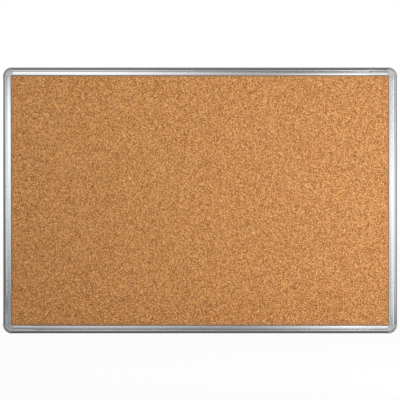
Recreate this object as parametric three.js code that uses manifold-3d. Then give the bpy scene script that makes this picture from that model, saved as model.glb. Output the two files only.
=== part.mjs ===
// Wall-hung cork board: a pinnable panel in four extruded aluminium rails, joined by moulded corner
// pieces whose fixing holes hide under silver caps that pull off.
//
// The board hangs upright. X runs to the right as one faces it, Z is up and the cork faces -Y.
// The origin is the middle of the board in the plane of the wall. Lengths are millimetres.
//
// Sections are drawn in two directions: u is the distance in from the outside of the frame, and
// v is the distance out from the wall.

import * as THREE from "three";
import { mergeVertices } from "three/addons/utils/BufferGeometryUtils.js";
import Module from "manifold-3d";

const wasm = await Module();
wasm.setup();

// Driving dimensions of the panel
const panelWidth = 900;
const panelHeight = 600;
const corkThickness = 1.8;
const coreThickness = 6;
const backingThickness = 1.6;

// Driving dimensions of the rails
const frameReach = 11.8; // from the edge of the panel out to the outside of the frame
const faceWidth = 18.5; // what shows of the frame from in front
const railWall = 1.2;
const lipThickness = 1.9; // over the cork, at the foot of the sloping face
const faceFall = 0.9; // how much the face slopes down towards the cork
const faceCrown = 0.16; // how far the face bulges in its middle
const beadRise = 1.0; // how far the outer bead stands above the face
const crestInset = 6.5; // from the outside to the top of the bead
const beadFall = 3.1; // from the top of the bead down to the face
const shoulderHeight = 7; // of the rounded outside edge
const shoulderRise = 0.6; // how upright the shoulder starts, as a share of its height
const shoulderTurn = 0.57; // how soon it turns over, as a share of the way to the crest
const fallStart = 0.42; // how far the bead runs on level past the crest, as a share of its fall
const fallEnd = 0.26; // how steeply it lands on the face, as a share of its fall
const noseTurn = 0.3; // how fast the nose drops at first, as a share of its height
const grooveWidth = 1.0;
const grooveDepth = 0.3;
const noseWidth = 1.1;
const noseHeight = 0.9;
const toeWidth = 1.6; // the part of the lip that comes down to the cork
const flangeReach = 6; // how far the back flange runs under the panel
const edgeBreak = 0.3;

// Driving dimensions of the corners
const insideRadius = 2; // of a cap's corner over the cork
const capRun = 1.5; // straight length of a cap beyond its rounded corner
const capThickness = 1.6;
const pegRadius = 1.5;
const pegAngle = THREE.MathUtils.degToRad(15.5); // from the end of the rounded corner
const pegEngagement = 8;
const pegTaper = 0.5;
const legLength = 34;
const legLeadIn = 2;
const legLeadInSet = 0.8;
const ribThickness = 1.4;
const pocketLength = 6.5;
const pocketStarts = [1.5, 16.5, 24.5]; // from the end of the rail

// Driving dimensions of the wall fixing and of the screws that hold the rails
const wallHoleRadius = 2.4; // for a 4 mm wall screw
const wellRadius = 4.2;
const wellWall = 1.0;
const wellFloor = 4; // the wall screw's head seats this far from the wall
const wellDrop = 1.9; // the well's rim stays this far behind the front of the cork
const screwInset = 12; // from the end of the rail
const screwRadius = 1.2;
const screwLength = 8;
const screwHeadRadius = 2.6;
const screwHeadHeight = 1.5;
const screwHeadDome = 0.5;
const recessLength = 3;
const recessWidth = 0.7;
const recessDepth = 0.9;

const clearance = 0.3; // between pieces that fit in or against each other
const threadClearance = 0.15;

// Fineness of the round forms
const faceSteps = 6; // in each curve of the face
const hiddenSteps = 4; // in each curve under it
const cornerSegments = 48; // in a full turn
const holeSegments = 20;
const pinSegments = 16;
const nearest = 0.05; // points of a section are no closer than this
const pastTheEnd = 1; // how far a cutter runs past what it cuts

// Sizes that follow
const frameWidth = panelWidth + 2 * frameReach;
const frameHeight = panelHeight + 2 * frameReach;
const backOfPanel = railWall + clearance;
const backOfCore = backOfPanel + backingThickness;
const backOfCork = backOfCore + coreThickness;
const frontOfCork = backOfCork + corkThickness;
const lipUnder = frontOfCork + clearance;
const lipTop = lipUnder + lipThickness;
const faceTop = lipTop + faceFall;
const crestTop = faceTop + beadRise;
const sideTop = crestTop - shoulderHeight;
const webFace = frameReach - clearance;
const webBack = webFace - railWall;
const backRecess = screwHeadHeight + clearance;
const chamberFloor = backRecess + railWall;
const beadWidth = crestInset + beadFall;
const toeInset = faceWidth - toeWidth;
const capProud = capThickness - railWall; // the cap is flush with the rail on the inside
const cornerRadius = faceWidth + insideRadius;
const capEnd = cornerRadius + capRun;
const railEnd = capEnd + clearance;
const jointInset = railWall + clearance; // the corner piece's outside, under the cap and in the rails
const chamberMiddle = (railWall + webBack) / 2;
const wellBoss = wellRadius + wellWall;
const wellInset = cornerRadius - (cornerRadius - jointInset - wellBoss) / Math.SQRT2;
const panelCrop = 2 * (wellInset - frameReach) + (wellBoss + clearance) * Math.SQRT2;

const materials = {
  aluminium: new THREE.MeshStandardMaterial({ color: 0xc3c5c7, roughness: 0.34, metalness: 1 }),
  cap: new THREE.MeshStandardMaterial({ color: 0xa9acad, roughness: 0.5, metalness: 0.25 }),
  joiner: new THREE.MeshStandardMaterial({ color: 0x6f7274, roughness: 0.6, metalness: 0 }),
  cork: new THREE.MeshStandardMaterial({ color: 0xc48a55, roughness: 0.9, metalness: 0 }),
  softboard: new THREE.MeshStandardMaterial({ color: 0xb89f7c, roughness: 0.95, metalness: 0 }),
  hardboard: new THREE.MeshStandardMaterial({ color: 0x7d5a3c, roughness: 0.7, metalness: 0 }),
  zinc: new THREE.MeshStandardMaterial({ color: 0xb9bcc0, roughness: 0.35, metalness: 1 }),
};

// A closed three.js geometry as a solid that can be joined and cut. Positions are rounded so that
// pieces that meet in a plane meet exactly.
function solid(geometry) {
  const bare = geometry.index ? geometry.toNonIndexed() : geometry.clone();
  bare.deleteAttribute("normal");
  bare.deleteAttribute("uv");
  const places = bare.attributes.position.array;
  const grid = 1e5;
  places.forEach((value, i) => {
    places[i] = Math.round(value * grid) / grid;
  });
  const merged = mergeVertices(bare, 1e-4);
  const corners = merged.index.array;
  const kept = [];
  for (let i = 0; i < corners.length; i += 3) {
    const [a, b, c] = corners.slice(i, i + 3);
    if (a !== b && b !== c && c !== a) kept.push(a, b, c);
  }
  const vertProperties = merged.attributes.position.array;
  const made = new wasm.Manifold(
    new wasm.Mesh({ numProp: 3, vertProperties, triVerts: new Uint32Array(kept) })
  );
  if (made.volume() > 0) return made;
  for (let i = 0; i < kept.length; i += 3) [kept[i + 1], kept[i + 2]] = [kept[i + 2], kept[i + 1]];
  return new wasm.Manifold(
    new wasm.Mesh({ numProp: 3, vertProperties, triVerts: new Uint32Array(kept) })
  );
}

// A solid back as a three.js geometry
function geometryOf(body) {
  const mesh = body.getMesh();
  const flat = new Float32Array(mesh.numVert * 3);
  for (let i = 0; i < mesh.numVert; i++) {
    flat.set(mesh.vertProperties.subarray(i * mesh.numProp, i * mesh.numProp + 3), i * 3);
  }
  const geometry = new THREE.BufferGeometry();
  geometry.setAttribute("position", new THREE.BufferAttribute(flat, 3));
  geometry.setIndex(new THREE.BufferAttribute(mesh.triVerts, 1));
  geometry.computeVertexNormals();
  return geometry;
}

function piece(name, geometry, material) {
  const mesh = new THREE.Mesh(geometry, material);
  mesh.name = name;
  return mesh;
}

// The line of the frame's face, from the top of its straight side to the nose of the lip. On the
// rails a shallow groove sets off the outer bead.
function faceLine(grooved, steps) {
  const line = new THREE.Path();
  line.moveTo(0, sideTop);
  line.bezierCurveTo(
    0, sideTop + shoulderRise * shoulderHeight,
    (1 - shoulderTurn) * crestInset, crestTop,
    crestInset, crestTop
  );
  line.bezierCurveTo(
    crestInset + fallStart * beadFall, crestTop,
    beadWidth - fallEnd * beadFall, faceTop + beadRise / 2,
    beadWidth, faceTop
  );
  if (grooved) {
    line.quadraticCurveTo(
      beadWidth + grooveWidth / 2, faceTop - 2 * grooveDepth,
      beadWidth + grooveWidth, faceTop
    );
  }
  const faceStart = line.currentPoint.x;
  const faceEnd = faceWidth - noseWidth;
  line.quadraticCurveTo(
    (faceStart + faceEnd) / 2, (faceTop + lipTop) / 2 + 2 * faceCrown,
    faceEnd, lipTop
  );
  line.quadraticCurveTo(faceWidth, lipTop - noseTurn * noseHeight, faceWidth, lipTop - noseHeight);
  return line.getPoints(steps);
}

// The plain face line moved into the metal by a distance, or out of it by a negative one
function faceAt(inset, steps = hiddenSteps) {
  const line = faceLine(false, steps);
  return line.map((point, i) => {
    const before = line[Math.max(i - 1, 0)];
    const after = line[Math.min(i + 1, line.length - 1)];
    const along = after.clone().sub(before).normalize();
    return new THREE.Vector2(point.x + along.y * inset, point.y - along.x * inset);
  });
}

// The stretch of a line between two values of u, with both ends worked out on the line
function stretch(line, from, to) {
  const heightAt = (u) => {
    const i = line.findIndex((point) => point.x >= u);
    const [a, b] = [line[Math.max(i - 1, 0)], line[i]];
    return a.y + ((b.y - a.y) * (u - a.x)) / (b.x - a.x || 1);
  };
  const inside = line.filter((point) => point.x > from + nearest && point.x < to - nearest);
  return [
    new THREE.Vector2(from, heightAt(from)),
    ...inside,
    new THREE.Vector2(to, heightAt(to)),
  ];
}

const at = (u, v) => new THREE.Vector2(u, v);

// The hollow of a rail, and with a clearance the leg that fits it
function chamberOutline(gap, floor) {
  const roof = stretch(faceAt(railWall + gap), railWall + gap, webBack - gap);
  return [at(railWall + gap, floor), ...roof, at(webBack - gap, floor)];
}

// The rail's section: a hollow outside with a crowned face, and a channel that grips the panel
// between the lip in front and the flange behind
function railSection() {
  const under = stretch(faceAt(railWall), webFace, toeInset).reverse();
  const flangeEnd = frameReach + flangeReach;
  const section = new THREE.Shape([
    at(edgeBreak, 0),
    at(0, edgeBreak),
    ...faceLine(true, faceSteps),
    at(faceWidth, lipUnder + edgeBreak),
    at(faceWidth - edgeBreak, lipUnder),
    at(toeInset, lipUnder),
    ...under,
    at(webFace, railWall),
    at(flangeEnd - edgeBreak, railWall),
    at(flangeEnd, railWall - edgeBreak),
    at(flangeEnd, 0),
    at(webBack, 0),
    at(webBack, backRecess),
    at(railWall, backRecess),
    at(railWall, 0),
  ]);
  section.holes.push(new THREE.Path(chamberOutline(0, chamberFloor).reverse()));
  return section;
}

// A round solid along v, given by its radius and the two heights between which it stands
function post(radius, low, high, segments = holeSegments) {
  const geometry = new THREE.CylinderGeometry(radius, radius, high - low, segments);
  return geometry.translate(0, (low + high) / 2, 0);
}

function block(low, high) {
  const size = [0, 1, 2].map((i) => high[i] - low[i]);
  const middle = [0, 1, 2].map((i) => (high[i] + low[i]) / 2);
  return new THREE.BoxGeometry(...size).translate(...middle);
}

// A rail lies along w, its third direction, from 0 to its length
function rail(length) {
  const bar = new THREE.ExtrudeGeometry(railSection(), { depth: length, bevelEnabled: false });
  let body = solid(bar);
  for (const w of [screwInset, length - screwInset]) {
    const [low, high] = [-pastTheEnd, chamberFloor + pastTheEnd];
    const hole = post(screwRadius + clearance, low, high, pinSegments);
    body = body.subtract(solid(hole.translate(chamberMiddle, 0, w)));
  }
  return geometryOf(body);
}

// A pan-head screw with a cross recess, its head's seat at v = 0 and its point upwards
function railScrew() {
  const head = new THREE.LatheGeometry(
    [
      at(0, -screwHeadHeight),
      at(0.6 * screwHeadRadius, -screwHeadHeight),
      at(screwHeadRadius, -screwHeadHeight + screwHeadDome),
      at(screwHeadRadius, 0),
      at(screwRadius, 0),
      at(screwRadius, screwLength - screwRadius),
      at(0, screwLength),
    ],
    pinSegments
  );
  let body = solid(head);
  for (const [x, z] of [[recessLength, recessWidth], [recessWidth, recessLength]]) {
    const slot = block(
      [-x / 2, -screwHeadHeight - pastTheEnd, -z / 2],
      [x / 2, recessDepth - screwHeadHeight, z / 2]
    );
    body = body.subtract(solid(slot));
  }
  return geometryOf(body);
}

// Corner pieces are drawn at the top right corner: the frame's outside corner is at X = 0, Z = 0,
// inwards is -X and -Z, and the wall is at Y = 0.
const alongTop = new THREE.Matrix4().makeBasis(
  new THREE.Vector3(0, 0, -1), new THREE.Vector3(0, -1, 0), new THREE.Vector3(-1, 0, 0)
);
const alongSide = new THREE.Matrix4().makeBasis(
  new THREE.Vector3(-1, 0, 0), new THREE.Vector3(0, -1, 0), new THREE.Vector3(0, 0, 1)
);

// A piece that lies along both rails from the corner, given along one of them
function alongBoth(geometry) {
  const top = geometry.clone().applyMatrix4(alongTop);
  const side = geometry.clone().applyMatrix4(alongSide).scale(1, 1, -1);
  return [solid(top), solid(side)];
}

// An outline drawn along each rail, between two distances from the outside
function straightRuns(outline, from, to) {
  const settings = { depth: to - from, bevelEnabled: false };
  const bar = new THREE.ExtrudeGeometry(new THREE.Shape(outline), settings);
  return alongBoth(bar.translate(0, 0, from));
}

// The tip of a leg, drawn in towards its middle so that it finds its way into the rail
function legTip(outline) {
  const settings = { depth: legLeadIn, bevelEnabled: false };
  const tip = new THREE.ExtrudeGeometry(new THREE.Shape(outline), settings);
  const places = tip.attributes.position;
  const share = 1 - legLeadInSet / (webBack - chamberMiddle);
  for (let i = 0; i < places.count; i++) {
    if (places.getZ(i) < legLeadIn) continue;
    const u = chamberMiddle + share * (places.getX(i) - chamberMiddle);
    const v = sideTop + share * (places.getY(i) - sideTop);
    places.setXY(i, u, v);
  }
  return tip;
}

// An outline taken round the rounded corner and on to a distance from the outside, both ways
function cornerSweep(outline, reach) {
  const closed = [...outline, outline[0]];
  const ring = new THREE.LatheGeometry(
    closed.map((point) => at(cornerRadius - point.x, -point.y)),
    cornerSegments
  );
  const [inner, outer] = [-cornerRadius, cornerRadius];
  const quarter = block([inner, -2 * crestTop, inner], [outer, 2 * crestTop, outer]);
  const round = solid(ring.translate(-cornerRadius, 0, -cornerRadius)).intersect(solid(quarter));
  const [top, side] = straightRuns(outline, cornerRadius, reach);
  return round.add(top).add(side);
}

// A point in the corner, given by the distance from the corner's middle and the angle from the
// end of the rounding, first near the top rail and then near the side rail
function nearBothEnds(radius, angle) {
  const far = radius * Math.cos(angle) - cornerRadius;
  const near = radius * Math.sin(angle) - cornerRadius;
  return [[near, far], [far, near]];
}

const pegPlaces = nearBothEnds(cornerRadius - chamberMiddle, pegAngle);
const pegTip = crestTop - capThickness - pegEngagement;

// Y runs towards the wall, so a post between two values of v is turned over
const standing = (geometry) => geometry.scale(1, -1, -1);

// The corner piece: an elbow under the cap, a leg in each rail, a base against the wall and a well
// for the wall screw
function cornerJoiner() {
  const legFloor = chamberFloor + clearance;
  const leg = chamberOutline(clearance, legFloor);
  const base = [at(webBack - clearance, railWall), at(cornerRadius, railWall), at(cornerRadius, 0)];
  let body = cornerSweep([...chamberOutline(clearance, 0).slice(0, -1), ...base], capEnd);
  const baseCorner = block([-capEnd, -railWall, -capEnd], [-wellInset, 0, -wellInset]);
  body = body.add(solid(baseCorner));
  const tipStart = railEnd + legLength - legLeadIn;
  const tips = alongBoth(legTip(leg).translate(0, 0, tipStart));
  for (const run of [...straightRuns(leg, capEnd, tipStart), ...tips]) {
    body = body.add(run);
  }
  const well = ([radius, low, high]) =>
    solid(standing(post(radius, low, high)).translate(-wellInset, 0, -wellInset));
  body = body.add(well([wellBoss, 0, frontOfCork - wellDrop]));
  body = body.subtract(well([wellRadius, wellFloor, crestTop + pastTheEnd]));
  body = body.subtract(well([wallHoleRadius, -pastTheEnd, wellFloor + pastTheEnd]));
  for (const [x, z] of pegPlaces) {
    const [low, high] = [pegTip - clearance, crestTop + pastTheEnd];
    const socket = post(pegRadius + clearance, low, high, pinSegments);
    body = body.subtract(solid(standing(socket).translate(x, 0, z)));
  }
  const pocketRoof = sideTop + ribThickness;
  const cuts = pocketStarts.map((start) => {
    const [from, to] = [railEnd + start, railEnd + start + pocketLength];
    return block(
      [jointInset + ribThickness, legFloor - pastTheEnd, from],
      [webBack - clearance - ribThickness, pocketRoof, to]
    );
  });
  const pilotTop = backRecess + screwLength + clearance;
  const pilot = post(screwRadius + threadClearance, 0, pilotTop, pinSegments);
  cuts.push(pilot.translate(chamberMiddle, 0, railEnd + screwInset));
  for (const cut of cuts.flatMap(alongBoth)) {
    body = body.subtract(cut);
  }
  return geometryOf(body);
}

// The cap: a shell with the rail's face, carried round the corner, and two pegs
function cornerCap() {
  const face = faceAt(-capProud, faceSteps);
  const foot = clearance;
  const outside = [at(-capProud, foot), ...face, at(faceWidth + capProud, foot)];
  const inside = [
    at(railWall, -pastTheEnd),
    ...stretch(faceAt(railWall), railWall, toeInset),
    at(toeInset, lipUnder),
    at(cornerRadius, lipUnder),
    at(cornerRadius, -pastTheEnd),
  ];
  let body = cornerSweep(outside, capEnd);
  body = body.subtract(cornerSweep(inside, capEnd + pastTheEnd));
  for (const [x, z] of pegPlaces) {
    const peg = new THREE.LatheGeometry(
      [
        at(0, pegTip),
        at(pegRadius - pegTaper, pegTip),
        at(pegRadius, pegTip + 2 * pegTaper),
        at(pegRadius, crestTop - capThickness / 2),
        at(0, crestTop - capThickness / 2),
      ],
      pinSegments
    );
    body = body.add(solid(standing(peg).translate(x, 0, z)));
  }
  return geometryOf(body);
}

// The panel's three layers share one outline, with the corners cropped clear of the screw wells
function panelLayer(thickness) {
  const [x, z, c] = [panelWidth / 2, panelHeight / 2, panelCrop];
  const outline = new THREE.Shape([
    at(-x + c, -z), at(x - c, -z), at(x, -z + c), at(x, z - c),
    at(x - c, z), at(-x + c, z), at(-x, z - c), at(-x, -z + c),
  ]);
  return new THREE.ExtrudeGeometry(outline, { depth: thickness, bevelEnabled: false });
}

function addPanel(board) {
  const layers = [
    ["backing_board", backingThickness, backOfPanel, materials.hardboard],
    ["core_board", coreThickness, backOfCore, materials.softboard],
    ["cork_sheet", corkThickness, backOfCork, materials.cork],
  ];
  for (const [name, thickness, back, material] of layers) {
    const layer = piece(name, panelLayer(thickness), material);
    layer.rotation.x = Math.PI / 2;
    layer.position.y = -back;
    board.add(layer);
  }
}

// Each side of the frame is the top side turned about Y
function addRails(board) {
  const sides = [
    ["top", frameWidth, frameHeight],
    ["right", frameHeight, frameWidth],
    ["bottom", frameWidth, frameHeight],
    ["left", frameHeight, frameWidth],
  ];
  const screw = railScrew();
  sides.forEach(([name, length, across], turn) => {
    const side = new THREE.Group();
    side.rotation.y = (turn * Math.PI) / 2;
    const bar = new THREE.Group();
    bar.quaternion.setFromRotationMatrix(alongTop);
    bar.position.set(length / 2 - railEnd, 0, across / 2);
    const railLength = length - 2 * railEnd;
    bar.add(piece(`rail_${name}`, rail(railLength), materials.aluminium));
    const screwPlaces = [["a", screwInset], ["b", railLength - screwInset]];
    for (const [end, w] of screwPlaces) {
      const fastener = piece(`rail_screw_${name}_${end}`, screw, materials.zinc);
      fastener.position.set(chamberMiddle, backRecess, w);
      bar.add(fastener);
    }
    side.add(bar);
    board.add(side);
  });
}

function addCorners(board) {
  const corners = [
    ["top_right", 1, 1],
    ["bottom_right", 1, -1],
    ["bottom_left", -1, -1],
    ["top_left", -1, 1],
  ];
  const joiner = cornerJoiner();
  const cap = cornerCap();
  corners.forEach(([name, right, up], turn) => {
    const corner = new THREE.Group();
    corner.rotation.y = (turn * Math.PI) / 2;
    corner.position.set((right * frameWidth) / 2, 0, (up * frameHeight) / 2);
    corner.add(piece(`corner_joiner_${name}`, joiner, materials.joiner));
    corner.add(piece(`corner_cap_${name}`, cap, materials.cap));
    board.add(corner);
  });
}

const corkBoard = new THREE.Group();
corkBoard.name = "cork_board";
addPanel(corkBoard);
addRails(corkBoard);
addCorners(corkBoard);

export default corkBoard;
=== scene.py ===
# %% [markdown]
# # Dressing a cork board
#
# The board is a pinnable panel in four extruded aluminium rails. Silver caps cover its corners and
# pull off over the wall screws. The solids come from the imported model, which is never moved here:
# this file gives every surface its finish, lights the board and places the camera.
#
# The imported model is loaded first. Its box is kept, because the dressed board has to stay in it.

import math

import bmesh
import bpy
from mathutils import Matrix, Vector


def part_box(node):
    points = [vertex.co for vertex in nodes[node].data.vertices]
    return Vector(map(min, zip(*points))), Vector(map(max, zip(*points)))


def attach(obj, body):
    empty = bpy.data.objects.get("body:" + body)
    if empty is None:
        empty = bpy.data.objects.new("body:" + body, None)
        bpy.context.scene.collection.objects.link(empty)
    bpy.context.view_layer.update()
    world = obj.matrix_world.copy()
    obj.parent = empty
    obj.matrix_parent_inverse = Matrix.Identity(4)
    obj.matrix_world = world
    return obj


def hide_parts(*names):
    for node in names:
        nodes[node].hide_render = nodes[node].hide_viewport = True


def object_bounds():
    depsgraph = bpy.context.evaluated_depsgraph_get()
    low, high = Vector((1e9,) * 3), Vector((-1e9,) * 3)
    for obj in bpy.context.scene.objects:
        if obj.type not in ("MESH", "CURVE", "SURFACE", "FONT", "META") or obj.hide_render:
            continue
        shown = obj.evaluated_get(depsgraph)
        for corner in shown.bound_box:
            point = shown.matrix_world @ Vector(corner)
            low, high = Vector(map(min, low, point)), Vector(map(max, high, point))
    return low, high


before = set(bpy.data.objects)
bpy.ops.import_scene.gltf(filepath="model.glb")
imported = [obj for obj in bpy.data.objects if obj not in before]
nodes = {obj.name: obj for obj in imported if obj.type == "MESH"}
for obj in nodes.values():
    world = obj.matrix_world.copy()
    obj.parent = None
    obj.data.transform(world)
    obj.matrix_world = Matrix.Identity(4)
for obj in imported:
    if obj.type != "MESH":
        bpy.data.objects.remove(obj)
solid_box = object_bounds()
sides = ("top", "right", "bottom", "left")
corners = ("top_right", "bottom_right", "bottom_left", "top_left")
print("solids:", len(nodes), "box:", [tuple(round(c, 4) for c in p) for p in solid_box])

# %% [markdown]
# ## Sizes
#
# The finishes, the studio and the camera refer to a few sizes of the frame: how wide its face is, how
# far its rails reach from the middle, and how low the board stands. They could be typed in, but then
# they would be wrong as soon as the model changes, so they are read from the solids' boxes.

# %% Sizes read from the solids
MM = 0.001
rail_low, rail_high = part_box("rail_top")
face_width = rail_high.z - rail_low.z
half_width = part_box("rail_right")[1].x
half_height = rail_high.z
floor_height = solid_box[0].z
print("face width", round(face_width, 4), "reach", round(half_width, 4), "and", round(half_height, 4))

# %% [markdown]
# ## Finishes
#
# A finish is a node tree. Drawing one by hand in code means naming every node and every link, which
# hides what is being worked out. Two small classes keep it readable. `Wire` is a value on its way
# from one node to the next, and arithmetic on wires adds the Math nodes. `Finish` is one material.
# Its `node` method adds any other kind of node, and the short methods after it are the nodes that
# nearly every finish here uses.

# %% A value on its way through the nodes
class Wire:
    def __init__(self, finish, socket):
        self.finish = finish
        self.socket = socket

    def _math(self, operation, first, second):
        return self.finish.node("Math", {"operation": operation}, {0: first, 1: second})

    def __add__(self, other):
        return self._math("ADD", self, other)

    def __radd__(self, other):
        return self._math("ADD", other, self)

    def __sub__(self, other):
        return self._math("SUBTRACT", self, other)

    def __rsub__(self, other):
        return self._math("SUBTRACT", other, self)

    def __mul__(self, other):
        return self._math("MULTIPLY", self, other)

    def __rmul__(self, other):
        return self._math("MULTIPLY", other, self)

    def __truediv__(self, other):
        return self._math("DIVIDE", self, other)

    def __rpow__(self, other):
        return self._math("POWER", other, self)

    def __gt__(self, other):
        return self._math("GREATER_THAN", self, other)


# %% A material being put together
WHITE = (1, 1, 1, 1)


class Finish:
    def __init__(self, name, **sockets):
        self.material = bpy.data.materials.new(name)
        self.material.use_nodes = True
        self.tree = self.material.node_tree
        self.shader = self.tree.nodes["Principled BSDF"]
        self.set(**sockets)

    def _feed(self, socket, value):
        if isinstance(value, Wire):
            self.tree.links.new(value.socket, socket)
        else:
            socket.default_value = value

    def _set_stops(self, ramp, stops):
        while len(ramp.elements) < len(stops):
            ramp.elements.new(0.5)
        for element, (place, colour) in zip(ramp.elements, stops):
            element.position = place
            element.color = colour

    def set(self, **sockets):
        for name, value in sockets.items():
            self._feed(self.shader.inputs[name.replace("_", " ")], value)

    def show(self, shader):
        self._feed(self.tree.nodes["Material Output"].inputs["Surface"], shader)

    def node(self, kind, settings=None, inputs=None, output=0):
        made = self.tree.nodes.new("ShaderNode" + kind)
        for name, value in (settings or {}).items():
            if name == "stops":
                self._set_stops(made.color_ramp, value)
            else:
                setattr(made, name, value)
        for name, value in (inputs or {}).items():
            self._feed(made.inputs[name], value)
        return Wire(self, made.outputs[output])

    def parts(self, kind, whole):
        made = self.node(kind, inputs={0: whole}).socket.node
        return [Wire(self, socket) for socket in made.outputs]

    def mix(self, factor, first, second):
        inputs = {0: factor, 6: first, 7: second}
        return self.node("Mix", {"data_type": "RGBA"}, inputs, output=2)

    def place(self, stretch=(1, 1, 1)):
        where = self.node("TexCoord", output="Object")
        return self.node("Mapping", inputs={"Vector": where, "Scale": stretch})

    def noise(self, where, size, detail=2.0, roughness=0.5, output=0):
        inputs = {"Vector": where, "Scale": 1 / size, "Detail": detail, "Roughness": roughness}
        return self.node("TexNoise", inputs=inputs, output=output)

    def cells(self, where, size, feature, output):
        inputs = {"Vector": where, "Scale": 1 / size, "Randomness": 1.0}
        return self.node("TexVoronoi", {"feature": feature}, inputs, output)

    def spread(self, wire, low, high, to_low=0.0, to_high=1.0):
        inputs = {0: wire, 1: low, 2: high, 3: to_low, 4: to_high}
        return self.node("MapRange", {"clamp": True}, inputs)

    def bump(self, height, depth):
        inputs = {"Height": height, "Distance": depth, "Strength": 1.0}
        return self.node("Bump", inputs=inputs)

    def glow(self, strength):
        return self.node("Emission", inputs={"Color": WHITE, "Strength": strength})


# %% [markdown]
# A colour is easiest to judge as it is seen on a screen, in red, green and blue from 0 to 255. A
# shader reckons with light instead, and between the two lies the screen's curve. So each colour below
# is written as it is seen, and one function straightens it by the standard curve.

# %% Colours written as they are seen
def srgb(red, green, blue):
    def linear(part):
        part /= 255
        return part / 12.92 if part <= 0.04045 else ((part + 0.055) / 1.055) ** 2.4

    return (*(linear(part) for part in (red, green, blue)), 1)


# %% [markdown]
# ### Cork
#
# The sheet is granulated cork: crumbs of bark about 1 to 2.5 mm across, pressed together with a
# binder, sliced and sanded flat. No two crumbs have the same tone. Most are tan, some are pale, and
# a few hold dark brown bark. The binder shows as a thin darker line round each crumb.
#
# A noise texture alone looks like sand or marble. Voronoi cells are the right idea, because a cell is
# a crumb: its random colour picks the tone and says what kind of crumb it is, and the distance to the
# next cell draws the binder. Cells in three sizes are laid over each other: the middle size makes most
# crumbs, the fine one varies and flecks them, and a coarse crumb stands among them here and there.

# %% Crumbs
fine_crumb_size = 0.85 * MM
crumb_size = 1.4 * MM
coarse_crumb_size = 2.4 * MM
coarse_from = 0.95


def crumbs(finish, where, size):
    tone, kind, _ = finish.parts("SeparateColor", finish.cells(where, size, "F1", "Color"))
    return tone, kind, finish.cells(where, size, "DISTANCE_TO_EDGE", "Distance")


print("crumbs in", [round(size / MM, 2) for size in (fine_crumb_size, crumb_size, coarse_crumb_size)], "mm")

# %% [markdown]
# The edges of Voronoi cells are straight, and those of crumbs aren't. So the place that the cells are
# read from is first shaken by a noise that is finer than most crumbs. Every edge turns uneven with it,
# and it costs no geometry.

# %% A shaken place
shake_size = 0.9 * MM
shake_reach = 0.6 * MM


def shaken_place(finish, where):
    shake = finish.noise(where, shake_size, detail=3.0, output="Color")
    centred = finish.node("VectorMath", {"operation": "SUBTRACT"}, {0: shake, 1: (0.5, 0.5, 0.5)})
    shift = finish.node("VectorMath", {"operation": "SCALE"}, {0: centred, "Scale": shake_reach})
    return finish.node("VectorMath", {"operation": "ADD"}, {0: where, 1: shift})


# %% [markdown]
# Along the lip of the rails the cork is painted darker and greyer. This is painted shade, for the shadow
# that the proud lip throws on the cork. A mask could be painted for it, but the sheet is a plain rectangle
# in a known place. So the distance to the nearest rail is worked out from the place itself, and the painted
# shade thins out with it.

# %% Painted shade along the lip
lip_shade_width = 8 * MM


# Mask of the painted shade: strongest at the rails' lip, fading out over a few millimetres.
def painted_lip_shade(finish, where):
    across, _, up = finish.parts("SeparateXYZ", where)
    to_side = (half_width - face_width) - finish.node("Math", {"operation": "ABSOLUTE"}, {0: across})
    to_top = (half_height - face_width) - finish.node("Math", {"operation": "ABSOLUTE"}, {0: up})
    to_lip = finish.node("Math", {"operation": "MINIMUM"}, {0: to_side, 1: to_top})
    nearness = 1 - finish.spread(to_lip, 0.0, lip_shade_width)
    return nearness * nearness


# %% [markdown]
# The tones run along a colour ramp, from bark to the palest crumb. Bark, specks, binder and the painted
# shade along the lip are then laid over it, one after the other, each by its own mask. The same rims and a
# fine noise raise the crumbs by a tenth or two of a millimetre, as sanding leaves them. That relief is far
# too fine for a mesh, so it is a bump. Cork has next to no shine, so its roughness is high.

# %% Cork's tones and relief
cork_tones = [
    (0.09, srgb(114, 67, 32)),
    (0.32, srgb(184, 117, 60)),
    (0.52, srgb(223, 151, 86)),
    (0.72, srgb(246, 180, 107)),
    (0.91, srgb(255, 211, 148)),
]
bark_brown = srgb(112, 65, 34)
speck_brown = srgb(120, 72, 40)
binder_brown = srgb(134, 83, 46)
# Painted shade: the grey-brown that darkens the cork along the rails' lip.
lip_shade_grey = srgb(125, 119, 106)
bark_cover = 0.8
speck_cover = 0.7
binder_cover = 0.5
# How strongly the painted shade along the lip covers the cork.
lip_shade_cover = 0.75
mottle_size = 0.35 * MM
pit_size = 0.5 * MM
cork_relief = 0.14 * MM
print("cork has", len(cork_tones), "tones and", round(cork_relief / MM, 2), "mm of relief")

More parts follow.
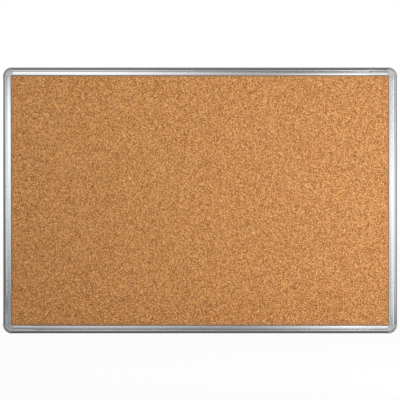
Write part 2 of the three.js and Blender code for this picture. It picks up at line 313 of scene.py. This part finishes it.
# %% Cork sheet
def cork_finish():
    finish = Finish("granulated_cork", Roughness=0.92, Specular_IOR_Level=0.25)
    where = finish.place()
    shaken = shaken_place(finish, where)
    tone, kind, rim = crumbs(finish, shaken, crumb_size)
    fine_tone, fine_kind, fine_rim = crumbs(finish, shaken, fine_crumb_size)
    coarse_tone, coarse_kind, coarse_rim = crumbs(finish, shaken, coarse_crumb_size)
    is_coarse = coarse_kind > coarse_from
    middling = 0.8 * tone + 0.2 * fine_tone
    mottle = finish.noise(where, mottle_size, detail=3.0, roughness=0.6)
    mixed = middling * (1 - is_coarse) + coarse_tone * is_coarse + (mottle - 0.5) * 0.2
    colour = finish.node("ValToRGB", {"stops": cork_tones}, {"Fac": mixed})
    bark = finish.spread(kind, 0.90, 0.94)
    colour = finish.mix(bark * bark_cover, colour, bark_brown)
    specks = finish.spread(fine_kind, 0.90, 0.93)
    colour = finish.mix(specks * speck_cover, colour, speck_brown)
    rim = rim * (1 - is_coarse) + coarse_rim * is_coarse
    binder = 1 - finish.spread(rim, 0.0, 0.1)
    colour = finish.mix(binder * binder_cover, colour, binder_brown)
    # Painted shade: the cork is darkened and greyed along the lip of the rails, where the lip shades it.
    colour = finish.mix(painted_lip_shade(finish, where) * lip_shade_cover, colour, lip_shade_grey)
    pits = finish.noise(shaken, pit_size, detail=3.0)
    height = finish.spread(rim, 0.0, 0.25) + finish.spread(fine_rim, 0.0, 0.2) * 0.5 + pits * 0.6
    finish.set(Base_Color=colour, Normal=finish.bump(height, cork_relief))
    return finish.material


def dress(node, material):
    nodes[node].data.materials.clear()
    nodes[node].data.materials.append(material)
    print(node, "is dressed in", material.name)


dress("cork_sheet", cork_finish())

# %% [markdown]
# ### Anodised aluminium
#
# The rails are pushed through a die and then anodised, which leaves a satin skin. The die also
# leaves fine lines that run the whole length of the rail, and they pull each reflection out across
# them. Stripes would repeat, and the real lines don't, so they are noise that is read from a squeezed
# place: it changes quickly across the rail and hardly at all along it. The rails run two ways, so
# there is one material for each.

# %% Aluminium
die_line_size = 0.35 * MM
die_line_depth = 0.004 * MM
change_along_rail = 0.004
metal_cloud_size = 30 * MM


def aluminium_finish(name, along):
    finish = Finish(name, Metallic=1.0)
    squeeze = tuple(change_along_rail if axis == along else 1 for axis in "xyz")
    lines = finish.noise(finish.place(squeeze), die_line_size, detail=3.0, roughness=0.6)
    cloud = finish.noise(finish.place(), metal_cloud_size)
    dull = srgb(214, 216, 219)
    pale = srgb(226, 228, 230)
    finish.set(
        Base_Color=finish.mix(lines * 0.7 + cloud * 0.3, dull, pale),
        Roughness=finish.spread(lines, 0.25, 0.75, to_low=0.2, to_high=0.28),
        Normal=finish.bump(lines, die_line_depth),
    )
    return finish.material


aluminium = {axis: aluminium_finish("anodised_along_" + axis, axis) for axis in "xz"}
print("metal:", [material.name for material in aluminium.values()])

# %% [markdown]
# ### Broken edges
#
# The solids of the rails, caps, joiners and screws are cut to size but left with knife edges and flat
# facets. Real edges are a little rounded and catch the light. A bevel on the solid itself would
# change it, so each one is copied, the copy's loose triangles are welded, its flat faces joined,
# and its sharp edges bevelled by about a tenth of a millimetre. The copy then stands for the solid.

# %% Copying a solid and breaking its edges
weld_distance = 0.002 * MM
flat_angle = math.radians(0.6)
smooth_angle = math.radians(50)


def broken_edges(node, suffix, material, body, width, sharp=38):
    mesh = nodes[node].data.copy()
    mesh.name = node + suffix
    bm = bmesh.new()
    bm.from_mesh(mesh)
    bmesh.ops.remove_doubles(bm, verts=bm.verts, dist=weld_distance)
    bmesh.ops.dissolve_limit(bm, angle_limit=flat_angle, verts=bm.verts, edges=bm.edges)
    limit = math.radians(sharp)
    keen = [e for e in bm.edges if e.is_manifold and e.calc_face_angle(0) > limit]
    bmesh.ops.bevel(
        bm, geom=keen, offset=width, offset_type="OFFSET", affect="EDGES", segments=2,
        profile=0.5, material=-1, clamp_overlap=True, loop_slide=True,
    )
    bmesh.ops.triangulate(bm, faces=[f for f in bm.faces if len(f.verts) > 4])
    bm.to_mesh(mesh)
    bm.free()
    mesh.shade_smooth()
    mesh.set_sharp_from_angle(angle=smooth_angle)
    mesh.materials.clear()
    mesh.materials.append(material)
    piece = bpy.data.objects.new(node + suffix, mesh)
    bpy.context.scene.collection.objects.link(piece)
    even = piece.modifiers.new("even_shading", "WEIGHTED_NORMAL")
    even.keep_sharp = True
    even.weight = 100
    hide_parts(node)
    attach(piece, body)
    print(piece.name, "has", len(mesh.polygons), "faces")


# %% Rails
rail_edge = 0.08 * MM
for side in sides:
    metal = aluminium["x" if side in ("top", "bottom") else "z"]
    broken_edges(f"rail_{side}", "_anodised", metal, "board", rail_edge)

# %% [markdown]
# ### Moulded plastics
#
# The caps are moulded in plastic that is filled with silver flake, so they look like satin paint next
# to the metal: greyer, and without the long reflections. A plain grey would look dead, so fine cells
# give each flake its own tone and a soft cloud varies them. The joiners are never seen once the board
# is up, and are plain dark grey with the fine grain of a spark-eroded mould.

# %% Silver plastic of the caps
flake_size = 0.14 * MM
cap_cloud_size = 6 * MM
cap_grain_size = 0.25 * MM
cap_grain_depth = 0.006 * MM


def cap_finish():
    finish = Finish("silver_flake_plastic", Metallic=0.5)
    where = finish.place()
    glint = finish.parts("SeparateColor", finish.cells(where, flake_size, "F1", "Color"))[0]
    cloud = finish.noise(where, cap_cloud_size)
    grain = finish.noise(where, cap_grain_size)
    dull = srgb(168, 171, 168)
    pale = srgb(200, 203, 200)
    finish.set(
        Base_Color=finish.mix(glint * 0.5 + cloud * 0.5, dull, pale),
        Roughness=finish.spread(cloud, 0.3, 0.7, to_low=0.36, to_high=0.44),
        Normal=finish.bump(grain, cap_grain_depth),
    )
    return finish.material


# %% Dark plastic of the joiners
joiner_grain_size = 0.3 * MM
joiner_grain_depth = 0.03 * MM
joiner_cloud_size = 9 * MM


def joiner_finish():
    finish = Finish("dark_moulded_plastic", Specular_IOR_Level=0.4)
    where = finish.place()
    grain = finish.noise(where, joiner_grain_size, detail=3.0)
    cloud = finish.noise(where, joiner_cloud_size)
    dark = srgb(62, 65, 68)
    light = srgb(82, 85, 88)
    finish.set(
        Base_Color=finish.mix(grain * 0.4 + cloud * 0.6, dark, light),
        Roughness=finish.spread(grain, 0.3, 0.7, to_low=0.52, to_high=0.68),
        Normal=finish.bump(grain, joiner_grain_depth),
    )
    return finish.material


# %% Caps and joiners
cap_edge = 0.15 * MM
joiner_edge = 0.12 * MM
silver = cap_finish()
dark_grey = joiner_finish()
for corner in corners:
    broken_edges(f"corner_cap_{corner}", "_moulded", silver, f"cap_{corner}", cap_edge)
    joiner = f"corner_joiner_{corner}"
    broken_edges(joiner, "_moulded", dark_grey, "board", joiner_edge)

# %% [markdown]
# ### Screws
#
# The screws are zinc plated and passivated, which leaves a skin that is bluish in one place and warm
# in the next. One even grey would read as paint, so a noise of about a millimetre mixes the two tints
# and varies how rough the skin is. Only edges sharper than 50 degrees are broken, which are those of
# the head and its cross: the blunt point stays as it is.

# %% Zinc plate
zinc_cloud_size = 1.2 * MM
screw_edge = 0.06 * MM
screw_sharp = 50


def zinc_finish():
    finish = Finish("zinc_plate", Metallic=1.0)
    cloud = finish.noise(finish.place(), zinc_cloud_size, detail=3.0)
    blue = srgb(196, 201, 209)
    warm = srgb(214, 212, 205)
    finish.set(
        Base_Color=finish.mix(cloud, blue, warm),
        Roughness=finish.spread(cloud, 0.3, 0.7, to_low=0.24, to_high=0.42),
    )
    return finish.material


zinc = zinc_finish()
for side in sides:
    for end in "ab":
        screw = f"rail_screw_{side}_{end}"
        broken_edges(screw, "_plated", zinc, "board", screw_edge, screw_sharp)

# %% [markdown]
# ### Core and back
#
# The core is soft pressed fibre and shows only at the cropped corners, under a cap. Its fibres lie in
# the sheet, so their noise is squeezed through its thickness. The back is hardboard: it is pressed on
# a wire mesh, which leaves its print on the rough side, and that is the side that faces the wall. The
# print is regular, so two sine waves draw it better than any noise and need no geometry.

# %% Core
fibre_size = 0.7 * MM
fibre_depth = 0.2 * MM
core_cloud_size = 12 * MM
squeezed_through = (1, 3, 1)


def softboard_finish():
    finish = Finish("soft_fibreboard", Roughness=0.95, Specular_IOR_Level=0.2)
    fibres = finish.noise(finish.place(squeezed_through), fibre_size, detail=4.0, roughness=0.65)
    cloud = finish.noise(finish.place(), core_cloud_size)
    dark = srgb(150, 122, 88)
    light = srgb(203, 177, 138)
    finish.set(
        Base_Color=finish.mix(fibres * 0.7 + cloud * 0.3, dark, light),
        Normal=finish.bump(fibres, fibre_depth),
    )
    return finish.material


dress("core_board", softboard_finish())

# %% Back
mesh_pitch = 1.6 * MM
chip_size = 1.5 * MM
back_cloud_size = 90 * MM
back_relief = 0.15 * MM


def hardboard_finish():
    finish = Finish("hardboard_mesh_side", Roughness=0.75, Specular_IOR_Level=0.3)
    where = finish.place()
    across, _, up = finish.parts("SeparateXYZ", where)
    turns = 2 * math.pi / mesh_pitch
    warp = finish.node("Math", {"operation": "SINE"}, {0: across * turns})
    weft = finish.node("Math", {"operation": "SINE"}, {0: up * turns})
    print_of_mesh = warp * weft * 0.5 + 0.5
    chips = finish.noise(where, chip_size, detail=5.0, roughness=0.7)
    cloud = finish.noise(where, back_cloud_size, detail=3.0)
    mixed = chips * 0.55 + cloud * 0.3 + print_of_mesh * 0.15
    dark = srgb(97, 66, 42)
    light = srgb(141, 101, 68)
    finish.set(
        Base_Color=finish.mix(finish.spread(mixed, 0.3, 0.7), dark, light),
        Normal=finish.bump(print_of_mesh * 0.6 + chips, back_relief),
    )
    return finish.material


dress("backing_board", hardboard_finish())

# %% [markdown]
# ## The studio
#
# The board stands upright on a pale floor in a white room. Lamps strong enough to make a room white
# would wash out the board. So the world and the floor are white only to rays from the camera, and to
# those that gloss or glass sends on. To every other ray the world is a soft fill, and the floor is a
# plain pale surface, which keeps a trace of the board's shadow.

# %% World
fill_strength = 0.352


def looked_at(finish):
    kinds = ("Camera", "Glossy", "Transmission")
    seen, mirrored, through = (finish.node("LightPath", output=f"Is {kind} Ray") for kind in kinds)
    return seen + mirrored + through


class Backdrop(Finish):
    def __init__(self, world):
        world.use_nodes = True
        self.tree = world.node_tree
        self.shader = self.tree.nodes["Background"]


world = bpy.data.worlds.new("white_studio")
bpy.context.scene.world = world
backdrop = Backdrop(world)
strength = backdrop.spread(looked_at(backdrop), 0.0, 1.0, to_low=fill_strength, to_high=1.0)
backdrop.set(Color=WHITE, Strength=strength)
print("the world's fill is", fill_strength)

# %% Floor
floor_colour = (0.86, 0.86, 0.86, 1)
floor_glow = 0.95
floor_reach = 12.0


def floor_finish():
    finish = Finish("pale_floor", Base_Color=floor_colour, Roughness=0.8)
    share = finish.spread(looked_at(finish), 0.0, 1.0, to_low=0.0, to_high=floor_glow)
    plain = Wire(finish, finish.shader.outputs["BSDF"])
    finish.show(finish.node("MixShader", inputs={0: share, 1: plain, 2: finish.glow(1.0)}))
    return finish.material


def stage_sheet(name, places, material):
    bm = bmesh.new()
    bm.faces.new([bm.verts.new(place) for place in places])
    mesh = bpy.data.meshes.new(name)
    bm.to_mesh(mesh)
    bm.free()
    mesh.materials.append(material)
    sheet = bpy.data.objects.new(name, mesh)
    bpy.context.scene.collection.objects.link(sheet)
    return sheet


def lying(width, near, far, height):
    return [(x, y, height) for x, y in ((-width, near), (width, near), (width, far), (-width, far))]


stage_sheet("floor", lying(floor_reach, -floor_reach, floor_reach, floor_height), floor_finish())
print("the floor is at", round(floor_height, 4))

# %% [markdown]
# ### Lamps
#
# Two soft square lamps light the cork. The key lamp stands in front at the right, so the cork is
# brightest there and falls off towards the lower left. The second one hangs in front above the left
# half and keeps the upper left from going dull. A sun or a bare bulb would throw hard shadows of the
# rails. Gloss doesn't see the lamps, because the metal would show each as a bright square: what the
# metal shows is left to the cards.

# %% Two soft lamps
def soft_lamp(name, place, target, side, power):
    lamp = bpy.data.lights.new(name, "AREA")
    lamp.shape = "SQUARE"
    lamp.size = side
    lamp.energy = power
    holder = bpy.data.objects.new(name, lamp)
    holder.location = place
    holder.rotation_euler = (Vector(target) - Vector(place)).to_track_quat("-Z", "Y").to_euler()
    holder.visible_glossy = False
    bpy.context.scene.collection.objects.link(holder)
    print(name, power, "W")


soft_lamp("key_lamp", place=(0.78, -0.92, -0.03), target=(0.2, 0, 0), side=0.9, power=9.1)
soft_lamp("second_lamp", place=(-0.35, -1.0, 0.62), target=(-0.17, 0, 0.18), side=0.6, power=3.5)

# %% [markdown]
# ### Cards
#
# Metal shows what stands around it, so in an all-white room it looks like paper. Photographers put
# up cards for it: white ones where the metal shall shine, dark ones where its edges shall show. Here a
# card is a sheet that glows, is seen by gloss alone and throws no shadow, so it shapes the metal and
# leaves the cork's light as it is. Each card has a function of the place that says how strongly it
# glows there. It is made of soft steps and bells, because a hard step shows as a line in the metal.

# %% A card that only gloss sees
def card(name, places, level):
    finish = Finish(name)
    x, y, z = finish.parts("SeparateXYZ", finish.node("TexCoord", output="Object"))
    finish.show(finish.glow(level(finish, x, y, z)))
    sheet = stage_sheet(name, places, finish.material)
    for way in ("camera", "diffuse", "transmission", "volume_scatter", "shadow"):
        setattr(sheet, "visible_" + way, False)
    print(name, "is up")


def standing(first, last, low, high):
    (x0, y0), (x1, y1) = first, last
    return [(x0, y0, low), (x1, y1, low), (x1, y1, high), (x0, y0, high)]


def bell(wire, middle, width):
    away = (wire - middle) / width
    return math.e ** (0 - away * away)


# %% [markdown]
# The brightest card is a screen in front of the board. The rails' faces lean only a little, so they
# mirror it, and each line along a rail shows another part of it. It is darkest at the lower left,
# where the rails are dark too, and it dims near its middle, where a camera would stand, and past the
# board's edges. Two brighter spots towards its right end are for the right rail, which shines most.

# %% The screen in front
screen_away = -0.7
back_away = 0.8
wide = 1.3
foot = floor_height + 0.2 * MM
ceiling = 0.62


def screen_level(finish, x, y, z):
    from_lower_left = finish.spread(z + 0.7 * x, -0.69, -0.04, to_low=0.06, to_high=1.77)
    camera_shade = 1 - 0.75 * bell(x, 0.15 + 0.4 * z, 0.35)
    upper_end = finish.spread(z + 0.12 * x, 0.227, 0.377, to_low=1.0, to_high=0.05)
    lower_end = finish.spread(z, -0.34, -0.21, to_low=0.07, to_high=1.0)
    spots = 1 + 1.2 * bell(x, 0.38, 0.24) * bell(z, 0.05, 0.08)
    spots = spots + 0.8 * bell(x, 0.5, 0.12) * bell(z, -0.09, 0.06)
    right_end = finish.spread(x, 0.45, 0.64, to_low=1.0, to_high=0.3)
    left_end = finish.spread(x, -0.75, -0.55, to_low=0.6, to_high=1.0)
    return from_lower_left * camera_shade * upper_end * lower_end * spots * (right_end * left_end)


screen = standing((-wide, screen_away), (wide, screen_away), foot, ceiling)
card("bright_screen", screen, screen_level)

# %% [markdown]
# The outer shoulders of the rails turn away from the screen and mirror what is beside, behind, above
# and below the board. One grey all round would give them one tone, so each of those cards has its own.
# They are darker than the screen, which draws the dark outline that parts the frame from the white
# ground, and most are lighter in front of the board's face than behind it.

# %% Cards beside the board
side_away = 0.75


def left_level(finish, x, y, z):
    past_the_face = finish.spread(y, -0.12, -0.04)
    in_front = finish.spread(z, -0.3, 0.3, to_low=0.14, to_high=0.385)
    return in_front * (1 - past_the_face) + 0.2 * past_the_face


def right_level(finish, x, y, z):
    past_the_face = finish.spread(y, -0.12, -0.04, to_low=1.0, to_high=0.3)
    upper_end = finish.spread(z, 0.05, 0.25, to_low=1.0, to_high=0.92)
    return finish.spread(z, -0.3, 0.0, to_low=0.68, to_high=0.84) * upper_end * past_the_face


for name, x, level in (("card_left", -side_away, left_level), ("card_right", side_away, right_level)):
    card(name, standing((x, screen_away), (x, back_away), foot, ceiling), level)

# %% Card behind the board
behind_top = 1.1


def behind_level(finish, x, y, z):
    past_the_top = finish.spread(z * z, 0.14, 0.2)
    past_the_side = finish.spread(x * x, 0.25, 0.36)
    open_middle = (1 - past_the_top) * (1 - past_the_side)
    return 0.12 + 0.4 * open_middle


card("card_behind", standing((-wide, back_away), (wide, back_away), foot, behind_top), behind_level)

# %% [markdown]
# Two strips hang close to the rails. The first stands by the inner edge of the right rail and runs
# along the rays that a level face would mirror, so only the slopes that lean inwards pick it up, and
# each slope shows another distance. It is brighter at its two ends, near the rail and far from it. A
# change of the screen would have changed every line of the rail. The second strip is narrow and hangs
# in front of the bottom rail's inner edge, where it darkens the line next to the cork.

# %% Strips close to the rails
right_strip_near = (0.4, -0.03)
right_strip_far = (0.4674, -0.62)
right_strip_top = 0.33
lower_strip_left = (-0.4, -0.06)
lower_strip_right = (0.404, -0.06)
lower_strip_foot = -0.268
lower_strip_top = -0.225


def right_strip_level(finish, x, y, z):
    middle = bell(z, 0.04, 0.14)
    level = 0.62 + 0.56 * middle
    level = level + (0.66 - 0.28 * middle) * finish.spread(y, -0.14, -0.075)
    far_gain = 1.65 - 0.9 * middle + 0.4 * finish.spread(z, 0.1, 0.2)
    level = level + far_gain * finish.spread(y, -0.22, -0.5)
    return level - 0.35 * finish.spread(z, 0.0, -0.2) * bell(y, -0.12, 0.03)


def lower_strip_level(finish, x, y, z):
    return finish.spread(x, -0.4, 0.4, to_low=0.05, to_high=0.27)


right_strip = standing(right_strip_near, right_strip_far, foot, right_strip_top)
lower_strip = standing(lower_strip_left, lower_strip_right, lower_strip_foot, lower_strip_top)
card("strip_right", right_strip, right_strip_level)
card("strip_below", lower_strip, lower_strip_level)

# %% [markdown]
# The last cards lie above and below. The upper one is one even grey, for the top rail's shoulder. Two
# lie on the floor, under the board and in front of it. The front one is bright at the left and dark
# at the right, the other way round from the screen, so that the bottom rail's outer lines stay nearly
# even along its length.

# %% Cards above and below
near_edge = -0.12
board_left = -0.45
board_right = 0.45


def above_level(finish, x, y, z):
    return 0.25


def below_level(finish, x, y, z):
    in_front = finish.spread(y, -0.014, -0.018)
    under_board = finish.spread(x, board_left, board_right, to_low=0.09, to_high=0.16)
    return 0.2 * in_front + under_board * (1 - in_front)


def floor_level(finish, x, y, z):
    far = finish.spread(y, -0.6, -0.61)
    left_corner = finish.spread(y, -0.42, -0.38) * finish.spread(x, -0.3, -0.38)
    near_level = finish.spread(x, board_left, board_right, to_low=0.82, to_high=0.03)
    near_level = near_level * (1 - 0.55 * left_corner)
    far_level = finish.spread(x, board_left, board_right, to_low=0.13, to_high=0.04)
    return near_level * (1 - far) + far_level * far


card("card_above", lying(wide, screen_away, back_away, ceiling), above_level)
card("card_below", lying(wide, near_edge, back_away, foot), below_level)
card("card_floor", lying(wide, screen_away, near_edge, foot), floor_level)

# %% [markdown]
# ## The camera
#
# The board is pictured straight on. From close by, a camera would look into the inner sides of the
# rails, so it has a long lens and stands a few metres away. Its distance could be found by trial, but
# it follows from what the picture shows: the frame's outline is so many pixels wide, which gives the
# size of a pixel there, and with the lens that gives the distance. Where the middle of the outline
# lies in the picture says how far the camera is off the board's middle.

# %% Camera
lens = 135.0
sensor = 36.0
picture_pixels = 400
outline_pixels = 393.65
outline_centre = (200.08, 200.43)
outline_depth = -8 * MM
pixel = 2 * half_width / outline_pixels
distance = picture_pixels * pixel * lens / sensor
camera = bpy.data.cameras.new("camera")
camera.lens = lens
camera.sensor_width = sensor
camera_holder = bpy.data.objects.new("camera", camera)
picture_centre = picture_pixels / 2
camera_holder.location = (
    (picture_centre - outline_centre[0]) * pixel,
    outline_depth - distance,
    (outline_centre[1] - picture_centre) * pixel,
)
camera_holder.rotation_euler = (math.pi / 2, 0, 0)
bpy.context.scene.collection.objects.link(camera_holder)
bpy.context.scene.camera = camera_holder
bpy.context.scene.view_settings.view_transform = "Standard"
print("pixel", round(pixel / MM, 4), "mm, camera", round(distance, 3), "m away")
